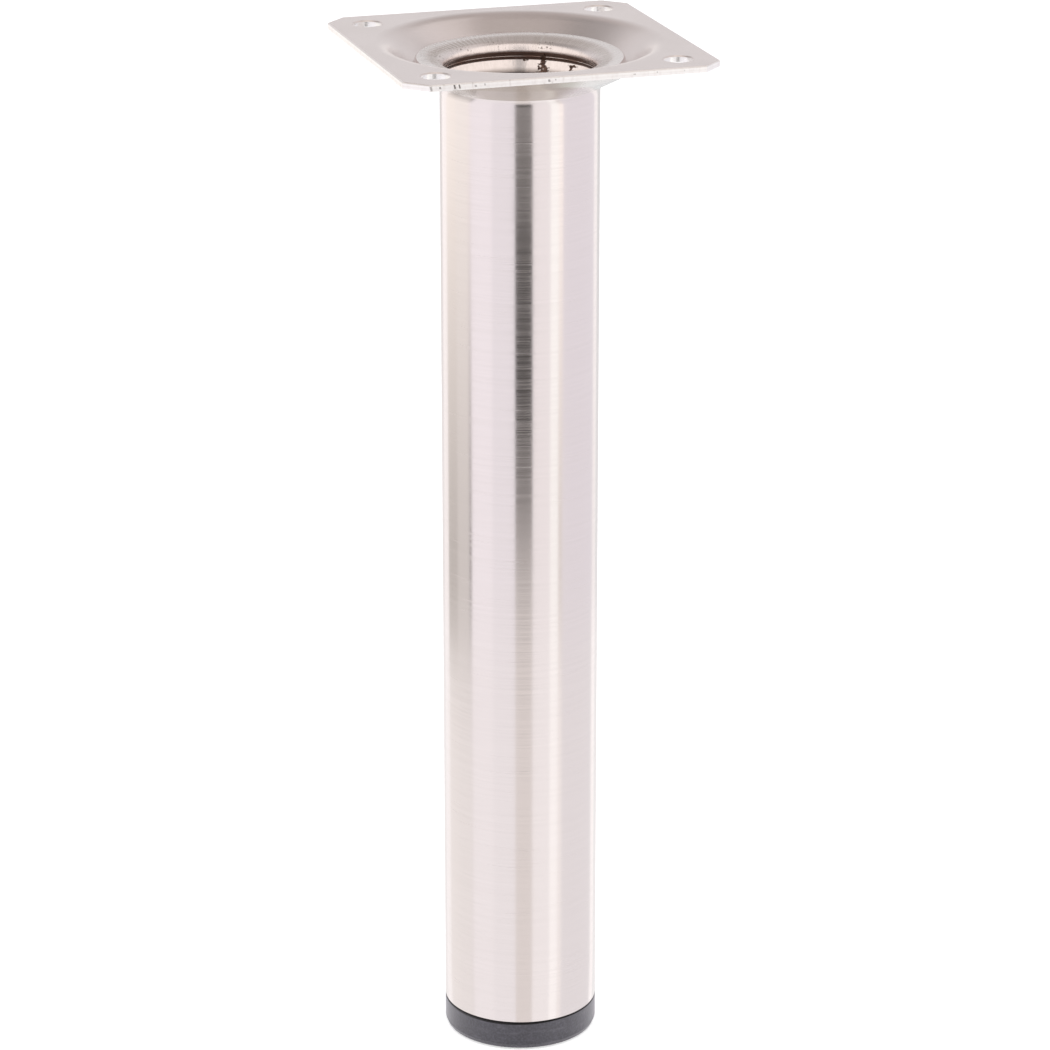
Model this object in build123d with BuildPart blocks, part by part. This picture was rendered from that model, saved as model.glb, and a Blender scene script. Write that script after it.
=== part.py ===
from build123d import *
import os
from math import cos, radians, sin, tan

# Furniture leg: a round steel tube flared into a dished mounting plate, with a plastic foot plug.
# All sizes in millimetres, +Z up, origin on the floor at the middle of the foot.

# Whole leg
leg_height = 200.0

# Tube
tube_diameter = 30.0
tube_wall = 0.8
tube_end_break = 0.2

# Mounting plate
plate_side = 60.0
plate_thickness = 1.2
plate_corner_cut = 4.0
plate_edge_break = 0.2
screw_inset = 7.0
screw_hole_diameter = 5.5
screw_hole_break = 0.25

# Dish pressed into the plate, in section from the rim inwards to the lip round the tube
dish_wall_angle = 40.0
dish_floor_angle = 27.5
dish_floor_width = 6.3
dish_knee_depth = 3.4
dish_rim_radius = 4.5
dish_knee_radius = 6.0
dish_shoulder_radius = 4.2
lip_width = 0.5

# Flare of the tube over the shoulder of the dish; stretching leaves its wall thinner than the tube's
flare_angle = 50.5
flare_inside_radius = 5.8
flange_reach = 4.7
flange_wall = 0.65
swage_groove_depth = 0.25
swage_groove_place = 33.0
swage_groove_tilt = 24.0
swage_tool_size = 1.5

# Foot plug
plug_head_height = 6.0
plug_foot_round = 1.2
plug_head_break = 0.3
plug_shank_height = 16.0
plug_shank_wall = 1.8
plug_lead_in_height = 1.0
plug_lead_in_depth = 0.5
plug_floor = 3.0
fin_count = 3
fin_reach = 1.5
fin_margin = 0.8
fin_front_share = 0.6

# Clearances
plate_clearance = 0.03
plug_clearance = 0.03

# Shared values worked out from the sizes above
tube_radius = tube_diameter / 2
bore_radius = tube_radius - tube_wall
hole_radius = tube_radius + plate_clearance
flange_radius = tube_radius + flange_reach
screw_spacing = plate_side - 2 * screw_inset
plate_top = leg_height
plate_under = plate_top - plate_thickness
wall_slope = radians(dish_wall_angle)
floor_slope = radians(dish_floor_angle)
flange_slope = radians(90 - flare_angle)

# Section of the dish: the top corners first, then the same corners on the underside
knee_r = tube_radius + dish_floor_width
knee_z = plate_top - dish_knee_depth
rim_r = knee_r + dish_knee_depth / tan(wall_slope)
shoulder_z = knee_z - (knee_r - hole_radius) * tan(floor_slope)
knee_turn = (wall_slope + floor_slope) / 2
knee_miter = plate_thickness / cos((wall_slope - floor_slope) / 2)
under_knee_r = knee_r + knee_miter * sin(knee_turn)
under_knee_z = knee_z - knee_miter * cos(knee_turn)
under_rim_r = rim_r + plate_thickness * tan(wall_slope / 2)
lip_radius = hole_radius + lip_width
lip_z = under_knee_z - (under_knee_r - lip_radius) * tan(floor_slope)

# The outside of the tube bends round the same centre as the shoulder of the dish
bend_z = shoulder_z - dish_shoulder_radius * tan((radians(90) - floor_slope) / 2)
bend_outside = dish_shoulder_radius + plate_clearance
half_flare = tan(radians(flare_angle) / 2)

# Mounting plate: the dished sheet is spun as a disc, then cut to the square blank and to a lip round the tube
blank_radius = plate_side
sheet_end_z = bend_z - plate_thickness
plate_section = [
    ((blank_radius, plate_top), 0),
    ((rim_r, plate_top), dish_rim_radius),
    ((knee_r, knee_z), dish_knee_radius),
    ((hole_radius, shoulder_z), dish_shoulder_radius),
    ((hole_radius, sheet_end_z), 0),
    ((lip_radius, sheet_end_z), 0),
    ((lip_radius, lip_z), 0),
    ((under_knee_r, under_knee_z), dish_knee_radius + plate_thickness),
    ((under_rim_r, plate_under), dish_rim_radius - plate_thickness),
    ((blank_radius, plate_under), 0),
]
with BuildPart() as mounting_plate:
    with BuildSketch(Plane.XZ):
        with BuildLine():
            FilletPolyline(
                [point for point, corner in plate_section],
                radius=[corner for point, corner in plate_section],
                close=True,
            )
        make_face()
    revolve(axis=Axis.Z)
    with BuildSketch(Plane.XY.offset(plate_top)) as blank:
        Rectangle(plate_side, plate_side)
        chamfer(blank.vertices(), length=plate_corner_cut)
        with GridLocations(screw_spacing, screw_spacing, 2, 2):
            Circle(screw_hole_diameter / 2, mode=Mode.SUBTRACT)
    extrude(amount=lip_z - plate_top, mode=Mode.INTERSECT)
    # Sheared edges and punched holes are slightly broken on the face that meets the furniture
    face_edges = mounting_plate.faces().sort_by(Axis.Z)[-1].edges()
    chamfer(face_edges.filter_by(GeomType.LINE), length=plate_edge_break)
    hole_edges = mounting_plate.faces().sort_by(Axis.Z)[-1].edges().filter_by(GeomType.CIRCLE)
    chamfer(hole_edges.filter_by(lambda edge: edge.radius < screw_hole_diameter), length=screw_hole_break)
mounting_plate.part.label = "mounting_plate"

# Leg tube: the straight wall, the bend over the shoulder and the flange, with a swage groove in the throat
flare_z = bend_z + bend_outside * half_flare
flange_z = flare_z + flange_reach * tan(flange_slope)
flange_top_r = flange_radius - flange_wall * sin(flange_slope)
flange_top_z = flange_z + flange_wall * cos(flange_slope)
throat_z = flare_z - tube_wall * tan(flange_slope) + flange_wall / cos(flange_slope)
tube_section = [
    ((bore_radius, plug_head_height), 0),
    ((tube_radius - tube_end_break, plug_head_height), 0),
    ((tube_radius, plug_head_height + tube_end_break), 0),
    ((tube_radius, flare_z), bend_outside),
    ((flange_radius, flange_z), 0),
    ((flange_top_r, flange_top_z), 0),
    ((bore_radius, throat_z), flare_inside_radius),
]
groove_turn = radians(swage_groove_place)
groove_reach = flare_inside_radius - swage_groove_depth
groove_r = bore_radius + flare_inside_radius - groove_reach * cos(groove_turn)
groove_z = throat_z - flare_inside_radius * half_flare + groove_reach * sin(groove_turn)
with BuildPart() as leg_tube:
    with BuildSketch(Plane.XZ):
        with BuildLine():
            FilletPolyline(
                [point for point, corner in tube_section],
                radius=[corner for point, corner in tube_section],
                close=True,
            )
        make_face()
        # The corner of a square tool cuts the groove: a long face above, a short step below
        with Locations((groove_r, groove_z)):
            Rectangle(
                swage_tool_size,
                swage_tool_size,
                rotation=90 - swage_groove_place + swage_groove_tilt,
                align=(Align.MIN, Align.MIN),
                mode=Mode.SUBTRACT,
            )
    revolve(axis=Axis.Z)
leg_tube.part.label = "leg_tube"

# Foot plug: a solid head under the tube and a hollow shank with grip fins inside it.
# Each fin is flat at its back and slopes to the front, so the plug goes in more easily than out.
fin_radius = bore_radius - plug_clearance
core_radius = fin_radius - fin_reach
shank_top = plug_head_height + plug_shank_height
shank_inside = core_radius - plug_shank_wall
fin_pitch = (plug_shank_height - plug_lead_in_height - 2 * fin_margin) / fin_count
foot_step = plug_foot_round * (1 - cos(radians(45)))  # the foot's edge is rounded off in two flats
plug_section = [
    ((0, plug_floor), 0),
    ((0, 0), 0),
    ((tube_radius - plug_foot_round, 0), 0),
    ((tube_radius - foot_step, foot_step), 0),
    ((tube_radius, plug_foot_round), 0),
    ((tube_radius, plug_head_height - plug_head_break), 0),
    ((tube_radius - plug_head_break, plug_head_height), 0),
    ((core_radius, plug_head_height), 0),
]
for fin in range(fin_count):
    fin_z = plug_head_height + fin_margin + fin * fin_pitch
    plug_section += [
        ((core_radius, fin_z), 0),
        ((fin_radius, fin_z), 0),
        ((core_radius, fin_z + fin_front_share * fin_pitch), 0),
    ]
plug_section += [
    ((core_radius, shank_top - plug_lead_in_height), 0),
    ((core_radius - plug_lead_in_depth, shank_top), 0),
    ((shank_inside, shank_top), 0),
    ((shank_inside, plug_floor), 0),
]
with BuildPart() as foot_plug:
    with BuildSketch(Plane.XZ):
        with BuildLine():
            FilletPolyline(
                [point for point, corner in plug_section],
                radius=[corner for point, corner in plug_section],
                close=True,
            )
        make_face()
    revolve(axis=Axis.Z)
foot_plug.part.label = "foot_plug"

os.makedirs("parts", exist_ok=True)
export_step(leg_tube.part, "parts/leg_tube.step")
export_step(mounting_plate.part, "parts/mounting_plate.step")
export_step(foot_plug.part, "parts/foot_plug.step")
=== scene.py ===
import math
import bpy
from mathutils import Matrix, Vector, noise


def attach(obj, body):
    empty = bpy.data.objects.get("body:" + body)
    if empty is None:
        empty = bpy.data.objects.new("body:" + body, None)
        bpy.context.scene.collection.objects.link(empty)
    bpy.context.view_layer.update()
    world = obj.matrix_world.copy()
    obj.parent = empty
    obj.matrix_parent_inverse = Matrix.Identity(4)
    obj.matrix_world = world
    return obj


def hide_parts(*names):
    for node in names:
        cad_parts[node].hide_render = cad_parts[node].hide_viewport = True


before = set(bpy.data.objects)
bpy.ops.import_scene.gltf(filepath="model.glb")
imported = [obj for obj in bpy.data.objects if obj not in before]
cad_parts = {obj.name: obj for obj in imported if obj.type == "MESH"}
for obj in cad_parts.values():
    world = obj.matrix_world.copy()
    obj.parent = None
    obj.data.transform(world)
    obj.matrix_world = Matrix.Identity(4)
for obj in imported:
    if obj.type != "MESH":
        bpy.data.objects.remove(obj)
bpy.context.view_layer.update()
mm = 0.001      # sizes of the leg are in millimetres, those of the studio in metres


# A shader socket that takes part in Python sums
class Wire:
    def __init__(self, finish, socket):
        self.finish = finish
        self.socket = socket

    def __add__(self, other):
        return self.finish.maths("ADD", self, other)

    def __radd__(self, other):
        return self.finish.maths("ADD", other, self)

    def __sub__(self, other):
        return self.finish.maths("SUBTRACT", self, other)

    def __rsub__(self, other):
        return self.finish.maths("SUBTRACT", other, self)

    def __mul__(self, other):
        return self.finish.maths("MULTIPLY", self, other)

    def __rmul__(self, other):
        return self.finish.maths("MULTIPLY", other, self)

    def __truediv__(self, other):
        return self.finish.maths("DIVIDE", self, other)

    def __abs__(self):
        return self.finish.maths("ABSOLUTE", self)

    def upTo(self, other):
        return self.finish.maths("MINIMUM", self, other)

    def atLeast(self, other):
        return self.finish.maths("MAXIMUM", self, other)

    # 0 at low, 1 at high, smooth between; low may be the larger
    def step(self, low, high):
        sockets = {0: self, 1: low, 2: high, 3: 0.0, 4: 1.0}
        return self.finish.node("ShaderNodeMapRange", {"interpolation_type": "SMOOTHSTEP"}, sockets)

    # 1 between low and high, with soft ends
    def band(self, low, high, soft):
        return self.step(low - soft, low + soft) * self.step(high + soft, high - soft)


# The node tree of a material or of the world
class Finish:
    def __init__(self, owner):
        self.owner = owner
        owner.use_nodes = True
        self.tree = owner.node_tree
        self.tree.nodes.clear()

    # Any node: its type, its settings, then the values or links of its sockets
    def node(self, kind, settings={}, sockets={}, out=0):
        made = self.tree.nodes.new(kind)
        for name, value in settings.items():
            if name == "stops":
                while len(made.color_ramp.elements) < len(value):
                    made.color_ramp.elements.new(0.5)
                for stop, (place, colour) in zip(made.color_ramp.elements, value):
                    stop.position = place
                    stop.color = colour
            else:
                setattr(made, name, value)
        for name, value in sockets.items():
            if isinstance(value, Wire):
                self.tree.links.new(value.socket, made.inputs[name])
            else:
                made.inputs[name].default_value = value
        return Wire(self, made.outputs[out]) if len(made.outputs) else None

    # Another output of a node that is there already
    def other(self, wire, out):
        return Wire(self, wire.socket.node.outputs[out])

    def maths(self, operation, *values):
        return self.node("ShaderNodeMath", {"operation": operation}, dict(enumerate(values)))

    # The point on the part in millimetres
    def point(self):
        metres = self.node("ShaderNodeTexCoord", out="Object")
        return self.node("ShaderNodeVectorMath", {"operation": "SCALE"}, {0: metres, "Scale": 1 / mm})

    def axes(self, vector):
        x = self.node("ShaderNodeSeparateXYZ", {}, {0: vector})
        return x, self.other(x, 1), self.other(x, 2)

    # The point, its x, y and z, and its radius about the leg's axis
    def place(self):
        point = self.point()
        x, y, z = self.axes(point)
        return point, x, y, z, self.maths("SQRT", x * x + y * y)

    # 1 on the side of the leg at an angle, -1 on the opposite one
    def side(self, x, y, radius, angle):
        return (x * math.cos(angle) + y * math.sin(angle)) / radius

    # A vector for marks that run out from the axis; it changes little along the radius
    def outwards(self, x, y, radius, change):
        return self.node("ShaderNodeCombineXYZ", {}, {0: x / radius, 1: y / radius, 2: radius * change})

    # Cosine of the angle between two directions
    def along(self, first, second):
        return self.node("ShaderNodeVectorMath", {"operation": "DOT_PRODUCT"}, {0: first, 1: second}, out=1)

    def stretch(self, vector, factors):
        return self.node("ShaderNodeVectorMath", {"operation": "MULTIPLY"}, {0: vector, 1: factors})

    def grain(self, vector, scale, detail=2.0):
        return self.node("ShaderNodeTexNoise", {}, {"Vector": vector, "Scale": scale, "Detail": detail})

    def tint(self, amount, first, second):
        return self.node("ShaderNodeMix", {"data_type": "RGBA"}, {0: amount, 6: first, 7: second}, out=2)

    def bump(self, height, depth):
        return self.node("ShaderNodeBump", {}, {"Height": height, "Distance": depth})

    def surface(self, sockets):
        shader = self.node("ShaderNodeBsdfPrincipled", {}, sockets)
        self.node("ShaderNodeOutputMaterial", {}, {"Surface": shader})
        return self.owner


def newFinish(name):
    return Finish(bpy.data.materials.new(name))


def addObject(name, data):
    piece = bpy.data.objects.new(name, data)
    bpy.context.scene.collection.objects.link(piece)
    return piece


def smoothStep(value, low, high):
    share = min(1, max(0, (value - low) / (high - low)))
    return share * share * (3 - 2 * share)


# Colours of the plated metal, its wear and its dirt, and of the shade and light painted on it

nickel = {
    "colour": (0.82, 0.752, 0.742, 1),
    "worn": (0.70, 0.635, 0.615, 1),
    # dull metal, also used for painted dark reflection and painted shade on the flange
    "dull": (0.56, 0.525, 0.475, 1),
    # painted shade under the plate
    "under": (0.50, 0.475, 0.42, 1),
    # bright metal of bare edges, the weld and a rubbed rim, also used for painted highlight and painted
    # light
    "bright": (0.95, 0.925, 0.915, 1),
    # dark brown for specks, nicks, and grime mixed with painted shade
    "grimeAndShade": (0.060, 0.038, 0.029, 1),
    # brown grime and painted shade in the bead's hollow
    "hollow": (0.30, 0.165, 0.12, 1),
    # painted shade deep in the bore
    "inside": (0.16, 0.13, 0.115, 1),
    "bare": (0.46, 0.43, 0.405, 1),
    "rust": (0.045, 0.019, 0.014, 1),
    "rustPale": (0.17, 0.09, 0.06, 1),
}


# Tube: spun from its section, with the marks that flaring left on it

footTop = 6.0
tubeForm = {
    "radius": 15.0, "bore": 14.2, "foot": footTop,
    "top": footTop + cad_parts["leg_tube"].dimensions.z / mm,
    "flareAngle": math.radians(50.5), "bend": 4.23, "reach": 4.7, "flangeWall": 0.65,
    "columns": 480, "longestRow": 9.0, "sharp": math.radians(50),
    "rimRows": 4,       # rows of the rim's edge that look like the flange, not like the outside
}

# A flat rim, a tight bend down to a narrow edge, and under it the hollow of the bead that grips the plate
throat = {
    "rimWidth": 1.7, "rimFall": 0.08,
    "fall": math.radians(11.5), "radius": 14.1, "bend": 2.0,
    "edge": 194.68, "edgeLean": 0.02,
    # a thin ridge in the hollow, and how far the corners over and under it lie from it in radius and height
    "ridge": 193.78, "ridgeRadius": 14.66, "ridgeOver": (0.08, 0.09), "ridgeUnder": (0.30, -0.10),
    "hollow": 193.12, "hollowRadius": 15.3,
    "end": 190.9,
}

# Sizes of the marks; a pair gives the radii or heights where a mark begins and is full
flare = {
    "from": throat["edge"] + 1,       # the flange is what lies above this height
    "ribs": 104, "ribHeight": 0.012, "unevenness": 0.010, "ribbed": (14.9, 16.2),
    "smoothed": (18.5, 19.2), "smoothing": 0.7,
    "dragged": math.radians(146), "drag": 6.0,      # the ripples are heavier on this side
    "liftUp": 0.98, "liftIn": 0.15,                 # they lift along the flange's normal
    "wander": 0.05, "wandering": (18.2, 19.4),      # the cut edge isn't quite round
    "raised": 0.37, "raisedSide": math.radians(45), "raising": (15.5, 18.5),    # its rim stands higher here
    "seam": math.radians(57.6), "seamWidth": 0.35, "seamHeight": 0.09, "seamDeep": (189.0, 184.0),
    "seamFlared": 0.03,                             # the weld is nearly ironed out on the flange
}


# Corners of the section: radius, height, rounding, steps of the rounding
def tubeCorners():
    form = tubeForm
    slope = math.pi / 2 - form["flareAngle"]
    rim = form["radius"] + form["reach"]
    rimZ = form["top"] - form["flangeWall"] * math.cos(slope)
    shoulderZ = rimZ - form["reach"] * math.tan(slope)
    rimTop = rim - form["flangeWall"] * math.sin(slope)
    flat = rimTop - throat["rimWidth"]
    flatZ = form["top"] - throat["rimFall"]
    bendZ = flatZ - (flat - throat["radius"]) * math.tan(throat["fall"])
    ridge = Vector((throat["ridgeRadius"], throat["ridge"]))
    over = ridge + Vector(throat["ridgeOver"])
    under = ridge + Vector(throat["ridgeUnder"])
    return [
        (form["radius"], form["foot"], 0.2, 5),
        (form["radius"], shoulderZ, form["bend"], 24),
        (rim, rimZ, 0.06, 3),
        (rimTop, form["top"], 0.2, 6),
        (flat, flatZ, 5.0, 10),
        (throat["radius"], bendZ, throat["bend"], 40),
        (throat["radius"] + throat["edgeLean"], throat["edge"], 0.3, 6),
        (*over, 0.03, 2),
        (*ridge, 0.03, 5),
        (*under, 0.03, 2),
        (throat["hollowRadius"], throat["hollow"], 0.35, 10),
        (form["bore"], throat["end"], 1.0, 8),
        (form["bore"], form["foot"], 0.0, 1),
    ]


# The corners of a closed section, each rounded, with the long straight runs split
def roundedSection(corners, longest):
    points = []
    for i, (r, z, rounding, steps) in enumerate(corners):
        corner = Vector((r, z))
        if rounding == 0:
            points.append(corner)
            continue
        before = (Vector(corners[i - 1][:2]) - corner).normalized()
        after = (Vector(corners[(i + 1) % len(corners)][:2]) - corner).normalized()
        half = before.angle(after) / 2
        centre = corner + (before + after).normalized() * rounding / math.sin(half)
        start = corner + before * rounding / math.tan(half) - centre
        end = corner + after * rounding / math.tan(half) - centre
        turn = start.angle_signed(end)
        for k in range(steps + 1):
            sine, cosine = math.sin(-turn * k / steps), math.cos(-turn * k / steps)
            spoke = Vector((start.x * cosine - start.y * sine, start.x * sine + start.y * cosine))
            points.append(centre + spoke)
    split = []
    for point, following in zip(points, points[1:] + points[:1]):
        parts = max(1, math.ceil((following - point).length / longest))
        split += [point.lerp(following, k / parts) for k in range(parts)]
    return split


# 1 at an angle round the leg, falling to 0 on the other side
def nearSide(angle, side):
    return 0.5 + 0.5 * math.cos(angle - side)


# Height of the marks on the flare, and how far its cut edge wanders
def flareMarks(r, z, angle, inside):
    outwards = Vector((math.cos(angle), math.sin(angle), 0))
    marked = smoothStep(r, *flare["ribbed"]) * (1 - flare["smoothing"] * smoothStep(r, *flare["smoothed"]))
    # the ripples are neither evenly spaced nor of one height
    lead = noise.noise(outwards * 5) * 2.6
    size = 0.55 + 0.9 * max(0, noise.noise(outwards * 2.2 + Vector((3, 1, 4))) + 0.25)
    size *= 0.5 + flare["drag"] * nearSide(angle, flare["dragged"]) ** 6
    ripple = flare["ribHeight"] * size * math.sin(flare["ribs"] * angle + lead)
    lift = marked * (ripple + flare["unevenness"] * noise.noise(outwards * 60))
    if inside:
        away = abs(math.remainder(angle - flare["seam"], math.tau)) * r
        bead = math.exp(-(away / flare["seamWidth"]) ** 2)
        deep = flare["seamHeight"] * smoothStep(z, *flare["seamDeep"])
        lift += bead * (flare["seamFlared"] * marked + deep)
    wander = flare["wander"] * smoothStep(r, *flare["wandering"])
    wander *= noise.noise(outwards * 4 + Vector((7, 0, 2))) - 0.6
    return lift, wander


# The tube's outside: belt lines run round it, long across and thin in height
def brushedNickel():
    look = newFinish("brushed_nickel")
    point = look.point()
    fine = look.grain(look.stretch(point, (0.05, 0.05, 6.0)), 1.0, 1.0)
    coarse = look.grain(look.stretch(point, (0.035, 0.035, 1.9)), 1.0, 2.0)
    scratch = look.grain(look.stretch(point, (0.12, 0.12, 9.0)), 1.0, 0.0).step(0.68, 0.80)
    lines = fine * 0.6 + coarse * 0.4
    worn = lines.step(0.3, 0.7) * 0.14 + scratch * 0.12
    return look.surface({
        "Base Color": look.tint(worn, nickel["colour"], nickel["worn"]),
        "Metallic": 1.0,
        "Roughness": 0.15 + lines.step(0.32, 0.72) * 0.08 + scratch * 0.07,
        # the brushing draws highlights up the tube
        "Anisotropic": 0.55, "Anisotropic Rotation": 0.25,
        "Normal": look.bump(lines, 0.0012 * mm),
    })


flareLook = {
    "end": throat["edge"] + 0.05,       # the bore's look begins under this height
    # radii where each begins and ends, or is full; the ring is a painted dark reflection, the worn band
    # wear with painted shade, the rim wear with a painted highlight
    "specks": (16.2, 15.4), "ring": (14.85, 15.35), "worn": (15.3, 17.0), "rim": (16.6, 17.9),
    # heights of the brown grime and painted shade at the throat's edge
    "grimeAndShade": (throat["edge"] + 0.7, throat["edge"] + 0.2),
    # distance from the middle of the weld
    "weld": (0.4, 0.1),
}


# The flange: stretch marks run out from the throat, with a dull ring at its bend painted as a dark
# reflection, a middle dulled by wear and painted shade, and a rim rubbed bright with a painted highlight
def flaredNickel():
    look = newFinish("flared_nickel")
    point, x, y, z, radius = look.place()
    angle = look.maths("ARCTAN2", y, x)
    outwards = look.outwards(x, y, radius, 0.0035)
    marks = look.grain(outwards, 48.0, 3.0)
    fineMarks = look.grain(outwards, 130.0, 1.0)
    uneven = look.grain(look.stretch(point, (0.6, 0.6, 1.2)), 1.0, 3.0)
    specks = look.grain(point, 2.4, 2.0).step(0.61, 0.66) * look.grain(point, 0.22, 1.0).step(0.5, 0.6)
    specks = specks * radius.step(*flareLook["specks"])
    # painted dark reflection: a dull ring at the bend
    ring = radius.band(*flareLook["ring"], 0.2) * (0.05 + 0.25 * marks)
    # wear with painted shade: the flange's middle is duller
    worn = radius.band(*flareLook["worn"], 0.6) * (0.15 + 0.45 * marks)
    # grime and painted shade: darker brown towards the throat's edge
    grimeAndShade = (z + uneven * 0.4).step(*flareLook["grimeAndShade"]) * 0.7
    weld = abs((angle - flare["seam"]) * radius + (uneven - 0.5) * 0.5).step(*flareLook["weld"])
    colour = look.tint(marks.step(0.35, 0.75) * 0.45, nickel["colour"], nickel["worn"])
    # painted highlight: the flange's outer part is brighter, as well as rubbed
    colour = look.tint(radius.step(*flareLook["rim"]) * 0.8, colour, nickel["bright"])
    colour = look.tint(ring.atLeast(worn), colour, nickel["dull"])
    colour = look.tint(weld * 0.25, colour, nickel["bright"])
    colour = look.tint(specks * 0.7, colour, nickel["grimeAndShade"])
    colour = look.tint(grimeAndShade, colour, nickel["grimeAndShade"])
    return look.surface({
        "Base Color": colour,
        "Metallic": 1.0,
        "Roughness": 0.22 + marks * 0.10 + specks * 0.2 + grimeAndShade * 0.2,
        "Normal": look.bump(marks * 0.5 + fineMarks * 0.5, 0.032 * mm),
    })


# Heights in the bore where each begins and is full
boreLook = {
    "ridge": (throat["ridge"] - 0.07, throat["ridge"] + 0.09),
    "hollow": (throat["hollow"] - 0.08, throat["hollow"] + 0.12),
    "shadeBelow": (throat["end"] + 1.0, throat["end"]),       # painted shade: darker down into the bore
    "bare": (189.5, 186.0),                                 # dull unplated steel further down
    "spotted": (184.0, 192.0),                              # loose spots of rust
    "lighterSides": math.radians(-17.4),     # the hollow's grime and painted shade are lighter on this side and on the opposite one
}

# Rust that crept down from the weld seam: angle and height of each run, how it widens and how it leans
rustRuns = [
    {"angle": 55.2, "low": 183.0, "high": 194.9, "width": 0.34, "spread": 0.20, "lean": 0.0},
    {"angle": 31.6, "low": 190.6, "high": 193.0, "width": 0.42, "spread": 0.12, "lean": 0.5},
    {"angle": 30.4, "low": 192.35, "high": 192.85, "width": 1.35, "spread": 0.0, "lean": 0.0},
    {"angle": 54.6, "low": 191.2, "high": 191.6, "width": 1.25, "spread": 0.0, "lean": 0.0},
    {"angle": 68.2, "low": 192.7, "high": 193.2, "width": 0.40, "spread": 0.0, "lean": 0.0},
]


# The bore: drawn lines, rust, grime and painted shade in the bead's hollow, left off its ridge in places as
# a painted light line, and painted shade down the bore
def boreMetal():
    look = newFinish("bore_metal")
    point, x, y, z, radius = look.place()
    angle = look.maths("ARCTAN2", y, x)
    drawn = look.grain(look.stretch(point, (2.2, 2.2, 0.05)), 1.0, 2.0)
    cloud = look.grain(point, 0.35, 3.0)
    broken = look.grain(point, 2.2, 4.0)
    ridgeLight = look.grain(point, 0.16, 1.0).step(0.40, 0.55)
    wavy = (look.grain(look.stretch(point, (0.5, 0.5, 1.0)), 1.0, 3.0) - 0.5) * 2.6
    rust = broken.step(0.76, 0.80) * z.step(*boreLook["spotted"]) * 0.6
    for run in rustRuns:
        middle = (run["low"] + run["high"]) / 2
        aside = (angle - math.radians(run["angle"])) * radius + (z - middle) * run["lean"] + wavy
        width = run["width"] + (run["high"] - z).atLeast(0) * run["spread"]
        reach = 1 - abs(aside) / width - (1 - z.band(run["low"], run["high"], 0.2)) * 3
        rust = rust.atLeast((reach + (broken - 0.5) * 3.2).step(0.15, 0.4) * reach.step(-1.6, -0.4))
    rust = rust.upTo(1)
    # the hollow's painted shade is left off the ridge in places, which leaves a painted light line
    ridge = z.band(*boreLook["ridge"], 0.03) * ridgeLight * 0.7
    lighterSides = abs(look.side(x, y, radius, boreLook["lighterSides"])).step(0.75, 0.97)
    # grime and painted shade fill the bead's hollow
    grimeAndShade = z.step(*boreLook["hollow"]) * (1 - ridge) * (1 - 0.5 * lighterSides) * 0.92
    bare = z.step(*boreLook["bare"])
    colour = look.tint(drawn.step(0.3, 0.75) * 0.5, nickel["colour"], nickel["worn"])
    colour = look.tint(cloud.step(0.5, 0.8) * 0.3, colour, nickel["worn"])
    # painted shade: the bore turns darker downwards
    colour = look.tint(z.step(*boreLook["shadeBelow"]) * 0.75, colour, nickel["inside"])
    colour = look.tint(bare, colour, nickel["bare"])
    colour = look.tint(grimeAndShade, colour, nickel["hollow"])
    rusty = look.tint(broken.step(0.45, 0.7), nickel["rustPale"], nickel["rust"])
    return look.surface({
        "Base Color": look.tint(rust, colour, rusty),
        "Metallic": 1 - rust.atLeast(grimeAndShade * 0.7).atLeast(bare * 0.5),
        "Roughness": 0.17 + drawn * 0.08 + rust * 0.4 + bare * 0.2,
        "Normal": look.bump(drawn * 0.25 + rust * 0.75, 0.05 * mm),
    })


def makeTube():
    points = roundedSection(tubeCorners(), tubeForm["longestRow"])
    rows, columns = len(points), tubeForm["columns"]
    top = max(range(rows), key=lambda i: points[i].y)
    verts, faces, finishes = [], [], []
    for c in range(columns):
        angle = math.tau * c / columns
        raised = flare["raised"] * nearSide(angle, flare["raisedSide"]) ** 5
        for i, (r, z) in enumerate(points):
            inside = i >= top
            lift, wander = flareMarks(r, z, angle, inside)
            if z > flare["from"]:
                z += flare["liftUp"] * lift + raised * smoothStep(r, *flare["raising"])
                r += wander - flare["liftIn"] * lift
            elif inside:
                r -= lift
            verts.append((r * math.cos(angle) * mm, r * math.sin(angle) * mm, z * mm))
    outside, flange, bore = range(3)
    for i in range(rows):
        j = (i + 1) % rows
        if i < top - tubeForm["rimRows"]:
            finish = outside
        elif points[i].y > flareLook["end"]:
            finish = flange
        else:
            finish = bore
        for c in range(columns):
            here, there = c * rows, (c + 1) % columns * rows
            faces.append((here + i, there + i, there + j, here + j))
            finishes.append(finish)
    mesh = bpy.data.meshes.new("tube")
    mesh.from_pydata(verts, [], faces)
    for material in (brushedNickel(), flaredNickel(), boreMetal()):
        mesh.materials.append(material)
    mesh.polygons.foreach_set("material_index", finishes)
    mesh.polygons.foreach_set("use_smooth", [True] * len(faces))
    mesh.set_sharp_from_angle(angle=tubeForm["sharp"])
    mesh.validate()
    tube = addObject("tube", mesh)
    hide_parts("leg_tube")
    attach(tube, "root")
    print("tube:", len(faces), "faces in", rows, "rows")


# Plate and foot: the frame's own nodes with finishes of their own

plateLook = {
    "dish": (15.5, 26.5),               # radii of the dish
    "holes": (27.5, 28.5),              # the screw holes lie outside this radius
    "sides": (29.55, 29.75), "corners": (55.7, 55.9), "front": (-29.5, -29.7),      # the sheared edge
    "shear": (199.22, 199.42),          # heights of the line where the sheet broke
    "pitted": (20.0, -16.0),            # the front edge is rougher towards this end
    "nickLean": 0.22,
    "shadedSide": math.radians(-107),     # painted shade: a darker patch on the underside, on this side
}

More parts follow.
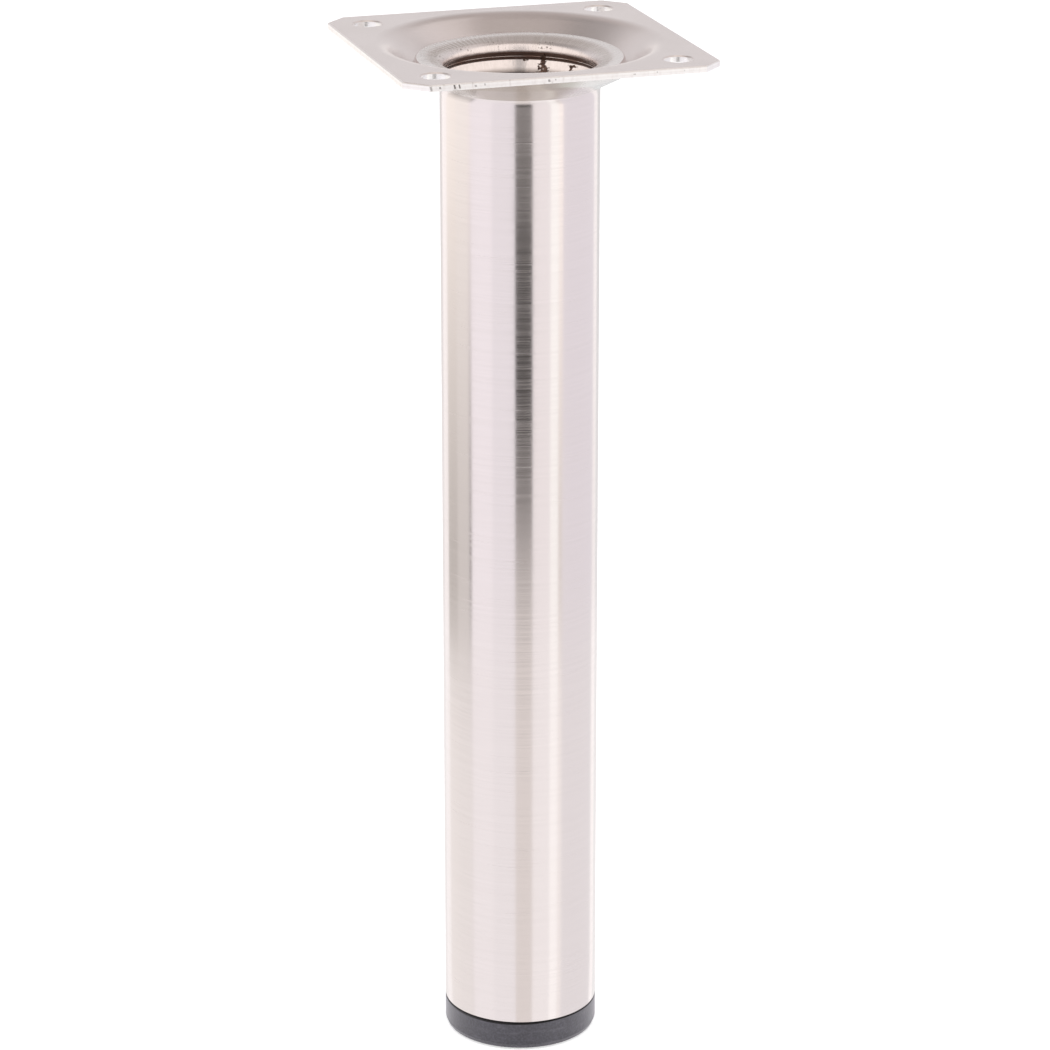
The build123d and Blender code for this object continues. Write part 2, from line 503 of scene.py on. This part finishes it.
# Marks on the sheared front edge: place along it, height, half width, half height, tone
edgeNicks = [
    (-25.85, 199.35, 0.20, 0.45, 0.5), (-24.2, 199.4, 0.20, 0.22, 0.6), (-21.5, 199.45, 0.17, 0.42, 0.9),
    (-20.6, 199.45, 0.15, 0.40, 0.85), (-17.6, 199.35, 0.22, 0.2, 0.45), (-15.9, 199.5, 0.16, 0.2, 0.4),
    (-3.9, 199.35, 0.22, 0.25, 0.6), (-2.7, 199.45, 0.14, 0.15, 0.45), (12.2, 199.4, 0.26, 0.14, 0.35),
    (16.5, 199.5, 0.14, 0.14, 0.35), (21.7, 199.45, 0.12, 0.14, 0.25),
]


# Satin on both faces, with painted shade and painted light under the dish; the sheared edge is bare and
# bright, with fine upright lines and dark nicks
def plateNickel():
    look = newFinish("plate_nickel")
    point, x, y, z, radius = look.place()
    up = look.axes(look.node("ShaderNodeNewGeometry", out="Normal"))[2]
    cloud = look.grain(point, 0.09, 3.0)
    satin = look.grain(point, 5.0, 2.0)
    drawn = look.grain(look.outwards(x, y, radius, 0.05), 60.0, 2.0)
    upright = look.grain(look.stretch(point, (1.3, 1.3, 0.35)), 1.0, 3.0)
    dish = radius.band(*plateLook["dish"], 1.0)
    sides = abs(x).atLeast(abs(y)).step(*plateLook["sides"])
    outer = sides.atLeast((abs(x) + abs(y)).step(*plateLook["corners"]))
    edge = outer * abs(up).step(0.9, 0.6)
    hole = abs(up).step(0.55, 0.35) * radius.step(*plateLook["holes"]) * (1 - outer)
    shear = z.band(*plateLook["shear"], 0.10)
    front = edge * y.step(*plateLook["front"])
    pits = front * upright.step(0.62, 0.72) * x.step(*plateLook["pitted"]) * 0.5
    for along, height, width, tall, tone in edgeNicks:
        across = abs(x + (z - height) * plateLook["nickLean"] - along) / width
        pits = pits.atLeast(front * across.atLeast(abs(z - height) / tall).step(1.15, 0.7) * tone)
    # painted shade: the underside is darker, most of all on one side
    below = up.step(-0.3, -0.6)
    shadedPatch = look.side(x, y, radius, plateLook["shadedSide"]).step(0.82, 0.94)
    # painted light: the rest of the dish's underside is lighter and less metallic
    litUnderside = below * (1 - shadedPatch) * dish
    dark = pits.upTo(1)
    colour = look.tint(0.15 + cloud.step(0.35, 0.7) * 0.25, nickel["colour"], nickel["worn"])
    colour = look.tint(dish * drawn.step(0.4, 0.8) * 0.25, colour, nickel["worn"])
    colour = look.tint(below * (0.25 + 0.6 * shadedPatch), colour, nickel["under"])
    colour = look.tint(litUnderside * 0.8, colour, nickel["bright"])
    colour = look.tint(edge.atLeast(hole), colour, nickel["bright"])
    colour = look.tint(edge * shear * 0.18 + edge * upright.step(0.45, 0.65) * 0.2, colour, nickel["worn"])
    return look.surface({
        "Base Color": look.tint(dark * 0.9, colour, nickel["grimeAndShade"]),
        "Metallic": 1 - (dark * 0.6).atLeast(hole * 0.2).atLeast(litUnderside * 0.5),
        "Roughness": 0.21 + satin * 0.07 + edge * 0.2 + pits * 0.2 - below * 0.08,
        "Normal": look.bump(satin * 0.25 + drawn * dish * 0.3 + edge * shear * 0.6 - pits, 0.02 * mm),
    })


footLook = {
    "colour": (0.018, 0.016, 0.026, 1),
    "pale": (0.074, 0.067, 0.094, 1),
    "dust": (0.18, 0.165, 0.20, 1),
    # painted shade for the line under the tube's end
    "gap": (0.008, 0.005, 0.004, 1),
    "sheen": (0.97, 0.94, 1.0, 1),
    "dusty": (1.2, 0.2),                # heights of the dust from the floor
    "shadeLineHeight": (5.67, 5.75),          # painted shade: a dark line under the tube's end
    "shadeLineSide": math.radians(-148),      # the painted shade line is wider on this side, where the plug isn't quite home
    "shadeLineWider": 0.26,
}


# Grained plastic with scuffs and dust, and a painted shade line under the tube's end
def footPlastic():
    look = newFinish("foot_plastic")
    point, x, y, z, radius = look.place()
    grain = look.grain(point, 2.2, 3.0)
    fine = look.grain(point, 6.5, 2.0)
    scuff = look.grain(look.stretch(point, (0.25, 0.25, 0.9)), 1.0, 4.0)
    wider = look.side(x, y, radius, footLook["shadeLineSide"]).step(0.2, 1.0) * footLook["shadeLineWider"]
    # painted shade: a dark line round the foot under the tube's end
    gap = (z + wider).step(*footLook["shadeLineHeight"])
    dusty = scuff.step(0.52, 0.72) * 0.3 + z.step(*footLook["dusty"]) * 0.2
    colour = look.tint(grain.step(0.35, 0.75) * 0.85, footLook["colour"], footLook["pale"])
    colour = look.tint(fine.step(0.66, 0.74) * 0.6, colour, footLook["dust"])
    colour = look.tint(dusty, colour, footLook["dust"])
    return look.surface({
        "Base Color": look.tint(gap, colour, footLook["gap"]),
        "Metallic": gap,        # no plastic gloss on the painted shade line
        "Roughness": 0.42 + grain * 0.20 + gap * 0.4,
        "Specular IOR Level": 0.75,
        "Sheen Weight": 1.0, "Sheen Roughness": 0.5, "Sheen Tint": footLook["sheen"],
        "Normal": look.bump(grain * 0.6 + fine * 0.4, 0.06 * mm),
    })


def dressNode(name, finish):
    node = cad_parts[name]
    node.data.materials.clear()
    node.data.materials.append(finish)
    print("finish on", name)


makeTube()
dressNode("mounting_plate", plateNickel())
dressNode("foot_plug", footPlastic())


# Studio: white floor, soft boxes, and cloth and cards that only the metal sees

photoSide = math.radians(-107.391)      # angles in the studio go from here to the right, in degrees


def around(angle, height, distance):
    turn, rise = photoSide + math.radians(angle), math.radians(height)
    out = math.cos(rise)
    return Vector((math.cos(turn) * out, math.sin(turn) * out, math.sin(rise))) * distance


# 1 for rays from the camera and for those that gloss or glass sends on
def seenRay(look):
    ray = look.node("ShaderNodeLightPath", out="Is Camera Ray")
    return ray.atLeast(look.other(ray, "Is Glossy Ray")).atLeast(look.other(ray, "Is Transmission Ray"))


floor = {
    "radius": 1.5, "sides": 72,
    "below": 0.1 * mm,                  # just under the foot
    "colour": (0.80, 0.80, 0.80, 1),
    "glow": 0.50, "mirroredGlow": 0.10,
}


# The floor is clear from below, so that the leg's underside can be seen
def makeFloor():
    down = Vector((0, 0, floor["below"]))
    sides = range(floor["sides"])
    ring = [tuple(around(i * 360 / floor["sides"], 0, floor["radius"]) - down) for i in sides]
    mesh = bpy.data.meshes.new("floor")
    mesh.from_pydata(ring, [], [tuple(sides)])
    look = newFinish("floor_white")
    ray = look.node("ShaderNodeLightPath", out="Is Camera Ray")
    lit = look.node("ShaderNodeBsdfDiffuse", {}, {"Color": floor["colour"]})
    strength = ray * floor["glow"] + seenRay(look) * floor["mirroredGlow"]
    glow = look.node("ShaderNodeEmission", {}, {"Strength": strength})
    both = look.node("ShaderNodeAddShader", {}, {0: lit, 1: glow})
    below = look.node("ShaderNodeNewGeometry", out="Backfacing")
    clear = look.node("ShaderNodeBsdfTransparent")
    shown = look.node("ShaderNodeMixShader", {}, {0: below, 1: both, 2: clear})
    look.node("ShaderNodeOutputMaterial", {}, {"Surface": shown})
    mesh.materials.append(look.owner)
    addObject("floor", mesh)


# Bright cloth all round, with a dim part that hangs over behind the leg
cloth = {
    "dimAngle": 180, "dimHeight": 50,
    # from its outside to its middle
    "stops": [
        (0.61, (1.18, 1.11, 1.05, 1)),
        (0.665, (0.36, 0.33, 0.31, 1)),
        (0.73, (0.51, 0.467, 0.445, 1)),
        (1.0, (0.50, 0.457, 0.435, 1)),
    ],
    # a dark fold in it and a pale one opposite: angle, height, where it begins and is full, colour
    "folds": [
        (-124, 51, 0.90, 0.99, (0.35, 0.33, 0.32, 1)),
        (124, 51, 0.92, 0.985, (0.82, 0.77, 0.75, 1)),
    ],
    "wall": (0.80, 0.782, 0.787, 1),
    "horizon": (1.12, 1.09, 1.07, 1),
    "backdrop": (1, 1, 1, 1),
    "ambient": 0.50,
}


def makeWorld():
    world = bpy.data.worlds.new("studio")
    bpy.context.scene.world = world
    look = Finish(world)
    direction = look.node("ShaderNodeTexCoord", out="Generated")
    height = look.axes(direction)[2]
    dim = look.along(direction, around(cloth["dimAngle"], cloth["dimHeight"], 1))
    mirrored = look.node("ShaderNodeValToRGB", {"stops": cloth["stops"]}, {0: dim})
    for angle, rise, begins, full, colour in cloth["folds"]:
        fold = look.along(direction, around(angle, rise, 1)).step(begins, full)
        mirrored = look.tint(fold, mirrored, colour)
    # under the cloth a plain wall shows, and a bright floor at the horizon
    wall = height.step(0.95, 0.35) * dim.step(0.45, 0.65) * (1 - dim.step(0.88, 0.97) * 0.5)
    mirrored = look.tint(wall, mirrored, cloth["wall"])
    mirrored = look.tint(height.step(0.17, 0.06), mirrored, cloth["horizon"])
    ray = look.node("ShaderNodeLightPath", out="Is Camera Ray")
    shown = look.tint(ray, mirrored, cloth["backdrop"])
    seen = look.node("ShaderNodeBackground", {}, {"Color": shown, "Strength": 1.0})
    soft = look.node("ShaderNodeBackground", {}, {"Color": cloth["backdrop"], "Strength": cloth["ambient"]})
    both = look.node("ShaderNodeMixShader", {}, {0: seenRay(look), 1: soft, 2: seen})
    look.node("ShaderNodeOutputWorld", {}, {"Surface": both})


# Name, angle, height angle, distance, size, watts
lamps = [
    ("softLeft", -58, 55, 1.6, 1.4, 7.4),
    ("softRight", 60, 55, 1.6, 1.4, 6.8),
    ("softBack", 170, 50, 1.6, 0.8, 1.6),
]
lampTarget = Vector((0, 0, 0.1))


def makeLamp(name, angle, height, distance, size, watts):
    data = bpy.data.lights.new(name, "AREA")
    data.shape = "DISK"
    data.size = size
    data.energy = watts
    lamp = addObject(name, data)
    lamp.location = around(angle, height, distance)
    lamp.rotation_euler = (lampTarget - lamp.location).to_track_quat("-Z", "Y").to_euler()
    lamp.visible_camera = False
    lamp.visible_glossy = False


# Cards that stand in a ring on the floor and run in along it towards the leg
cards = {
    "radius": 0.30, "height": 0.205,
    "evenAbove": 0.12,                  # the tone changes up to this height
    "overFloor": 0.0006,
    "runs": [0.0165, 0.022, 0.03, 0.045, 0.07, 0.12],       # radii of the rows on the floor
    "fade": 0.03,                       # width of the change of tone on the floor
    "floorTint": 0.35,                  # share of the tint that is left there
    "stepAngle": 3,
    # name, left and right angle, tint, tone at the top, at the foot and on the floor,
    # and the radius on the floor where the foot's tone begins
    "standing": [
        ("outlineLeft", -180, -151, (1.0, 0.98, 0.98), 0.80, 0.92, 0.97, 0.26),
        ("edgeLeft", -151, -132, (1.0, 0.98, 0.97), 1.20, 1.10, 1.13, 0.26),
        ("tan", -132, -106, (1.0, 0.965, 0.915), 1.18, 0.59, 1.0, 0.24),
        ("sand", -106, -81, (1.0, 0.975, 0.94), 1.14, 0.70, 0.98, 0.24),
        ("seam", -81, -76, (1.0, 0.96, 0.95), 1.16, 0.34, 0.96, 0.26),
        ("pink", -76, -41, (1.0, 0.98, 1.02), 1.07, 1.05, 1.04, 0.26),
        ("lilac", -41, -7, (1.0, 0.985, 1.03), 0.97, 0.97, 1.0, 0.26),
        ("pale", 18, 45, (1.0, 0.98, 0.99), 1.03, 1.0, 1.05, 0.26),
        ("strip", 45, 58, (1.0, 1.02, 1.0), 1.24, 1.14, 1.19, 0.26),
        ("amber", 58, 65, (1.0, 0.955, 0.915), 1.30, 0.78, 1.06, 0.26),
        ("mauve", 65, 134, (1.0, 0.98, 1.035), 0.92, 0.89, 0.92, 0.26),
        ("edgeRight", 134, 149, (1.0, 0.99, 0.99), 1.14, 1.06, 1.18, 0.26),
        ("outlineRight", 149, 180, (0.98, 0.99, 1.0), 0.76, 0.88, 0.96, 0.26),
    ],
}

# The dark slot between the cards on the photo's side and the dim gap over it, between the soft boxes
darkCards = {
    "tint": Vector((1, 0.965, 0.94)),
    "left": -7, "right": 18,
    "floorTone": 0.87,
    "floor": [(0.245, 0.89), (0.285, 0.76), (0.30, 0.64)],      # radius and tone
    # height and tone
    "slot": [(0.022, 0.07), (0.05, 0.03), (0.08, 0.092), (0.12, 0.19), (0.1235, 0.4), (0.205, 0.5)],
    "gapHalf": 9,
    "gap": [(0.205, 0.40), (0.28, 0.44), (0.42, 0.52), (0.75, 0.80), (1.1, 0.85)],
}


def cardGlow(name):
    look = newFinish(name)
    tone = look.node("ShaderNodeVertexColor", {"layer_name": "tone"})
    glow = look.node("ShaderNodeEmission", {}, {"Color": tone, "Strength": 1.0})
    look.node("ShaderNodeOutputMaterial", {}, {"Surface": glow})
    return look.owner


# Where a thing at some distance has to stand to be mirrored in line with a far one at the given angle,
# so that the tube mirrors the cards' edges as upright lines
def mirroredAngle(angle, distance):
    turn = math.radians(angle)
    side = tubeForm["radius"] * mm * math.sin(turn / 2)
    ahead = tubeForm["radius"] * mm * math.cos(turn / 2)
    reach = math.sqrt(distance * distance - side * side) - ahead
    return math.degrees(math.atan2(side + reach * math.sin(turn), ahead + reach * math.cos(turn)))


# A card bent round the leg that only gloss sees; its profile gives radius, height and colour
def makeCard(name, left, right, profile):
    steps = max(2, round((right - left) / cards["stepAngle"]))
    verts, tones, faces = [], [], []
    for i in range(steps + 1):
        angle = left + (right - left) * i / steps
        for radius, height, tone in profile:
            x, y = around(mirroredAngle(angle, radius), 0, radius).xy
            verts.append((x, y, height))
            tones += list(tone) + [1]
    rows = len(profile)
    for i in range(steps):
        for k in range(rows - 1):
            here, there = i * rows + k, (i + 1) * rows + k
            faces.append((here, here + 1, there + 1, there))
    mesh = bpy.data.meshes.new("card_" + name)
    mesh.from_pydata(verts, [], faces)
    mesh.color_attributes.new("tone", "FLOAT_COLOR", "POINT").data.foreach_set("color", tones)
    mesh.materials.append(cardGlow("card_" + name))
    card = addObject("card_" + name, mesh)
    card.visible_camera = False
    card.visible_diffuse = False
    card.visible_shadow = False


def floorCard(name, left, right, tint, top, foot, near, begins):
    radius, low = cards["radius"], cards["overFloor"]
    full = Vector(tint)
    faint = Vector((1, 1, 1)).lerp(full, cards["floorTint"])
    profile = [(run, low, faint * near) for run in cards["runs"] + [begins - cards["fade"]]]
    profile += [(run, low, full * foot) for run in (begins, radius)]
    profile += [(radius, height, full * top) for height in (cards["evenAbove"], cards["height"])]
    makeCard(name, left, right, profile)


def slotAndGap():
    radius, low, tint = cards["radius"], cards["overFloor"], darkCards["tint"]
    slot = [(run, low, tint * darkCards["floorTone"]) for run in cards["runs"]]
    slot += [(run, low, tint * tone) for run, tone in darkCards["floor"]]
    slot += [(radius, height, tint * tone) for height, tone in darkCards["slot"]]
    makeCard("slot", darkCards["left"], darkCards["right"], slot)
    gap = [(radius, height, tint * tone) for height, tone in darkCards["gap"]]
    makeCard("gap", -darkCards["gapHalf"], darkCards["gapHalf"], gap)


# The photo's camera, fitted to the leg's outline
view = {
    "lens": 139.28, "sensor": 36, "nearest": 0.01,
    "location": (-0.22125, -0.70654, 0.36359),
    "tilt": math.radians(70.7437), "heading": math.radians(-17.4609),
}


def makeCamera():
    data = bpy.data.cameras.new("photo_view")
    data.lens = view["lens"]
    data.sensor_width = view["sensor"]
    data.clip_start = view["nearest"]
    camera = addObject("photo_view", data)
    camera.location = view["location"]
    camera.rotation_euler = (view["tilt"], 0, view["heading"])
    bpy.context.scene.camera = camera


makeFloor()
makeWorld()
for lamp in lamps:
    makeLamp(*lamp)
for card in cards["standing"]:
    floorCard(*card)
slotAndGap()
makeCamera()
bpy.context.scene.view_settings.view_transform = "Standard"
print("studio ready")
